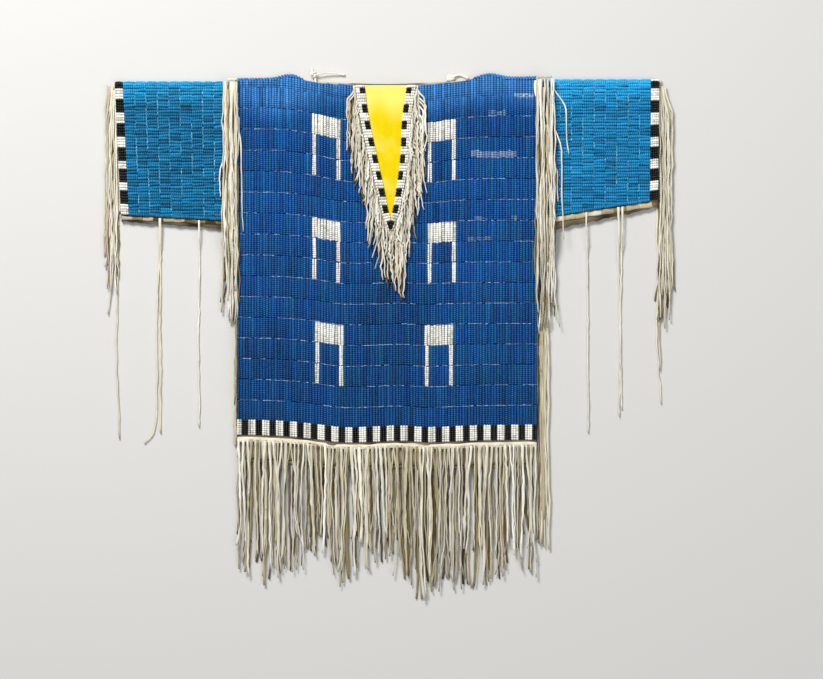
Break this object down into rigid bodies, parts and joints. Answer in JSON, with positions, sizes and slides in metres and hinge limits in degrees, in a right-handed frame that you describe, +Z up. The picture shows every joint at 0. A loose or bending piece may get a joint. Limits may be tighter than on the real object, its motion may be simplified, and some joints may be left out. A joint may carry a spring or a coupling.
{
  "type": "beaded hide shirt",
  "caption": "Small child's hide shirt, fully beaded in lanes of blue with white hoof-track figures, with a yellow bib and long hide fringe, laid flat.",
  "frame": {"origin": "middle of the part's bounding box, at the surface that it lies on", "axes": "+X to the right as the front is looked at, +Y towards the shoulders, +Z up out of the front"},
  "size_m": [0.461, 0.4218, 0.0132],
  "materials": {
    "body_beads": "small opaque blue glass beads strung in raised lanes on hide, satin gloss",
    "sleeve_beads": "small opaque turquoise glass beads strung in upright raised lanes on hide, satin gloss",
    "band_beads": "blocks of white and black glass beads in one raised lane",
    "yellow_hide": "tanned hide rubbed with yellow pigment, matt",
    "tanned_hide": "smoke-tanned hide, matt, a little worn",
    "hide_fringe": "hand-cut strands of soft tanned hide, matt cream to tan"
  },
  "bodies": {
    "root": {"back_panel": "tanned_hide", "front_panel": "body_beads", "hem_band": "band_beads", "sleeve_left": "sleeve_beads", "cuff_band_left": "band_beads", "sleeve_edge_left": "tanned_hide", "cuff_fringe_left": "hide_fringe", "armhole_fringe_left": "hide_fringe", "side_strip_left": "tanned_hide", "sleeve_right": "sleeve_beads", "cuff_band_right": "band_beads", "sleeve_edge_right": "tanned_hide", "cuff_fringe_right": "hide_fringe", "armhole_fringe_right": "hide_fringe", "side_strip_right": "tanned_hide", "shoulder_tie_left": "tanned_hide", "shoulder_tie_right": "tanned_hide", "bib": "yellow_hide", "bib_band": "band_beads", "bib_fringe": "hide_fringe", "hem_fringe_front": "hide_fringe", "hem_fringe_back": "hide_fringe"}
  },
  "joints": []
}
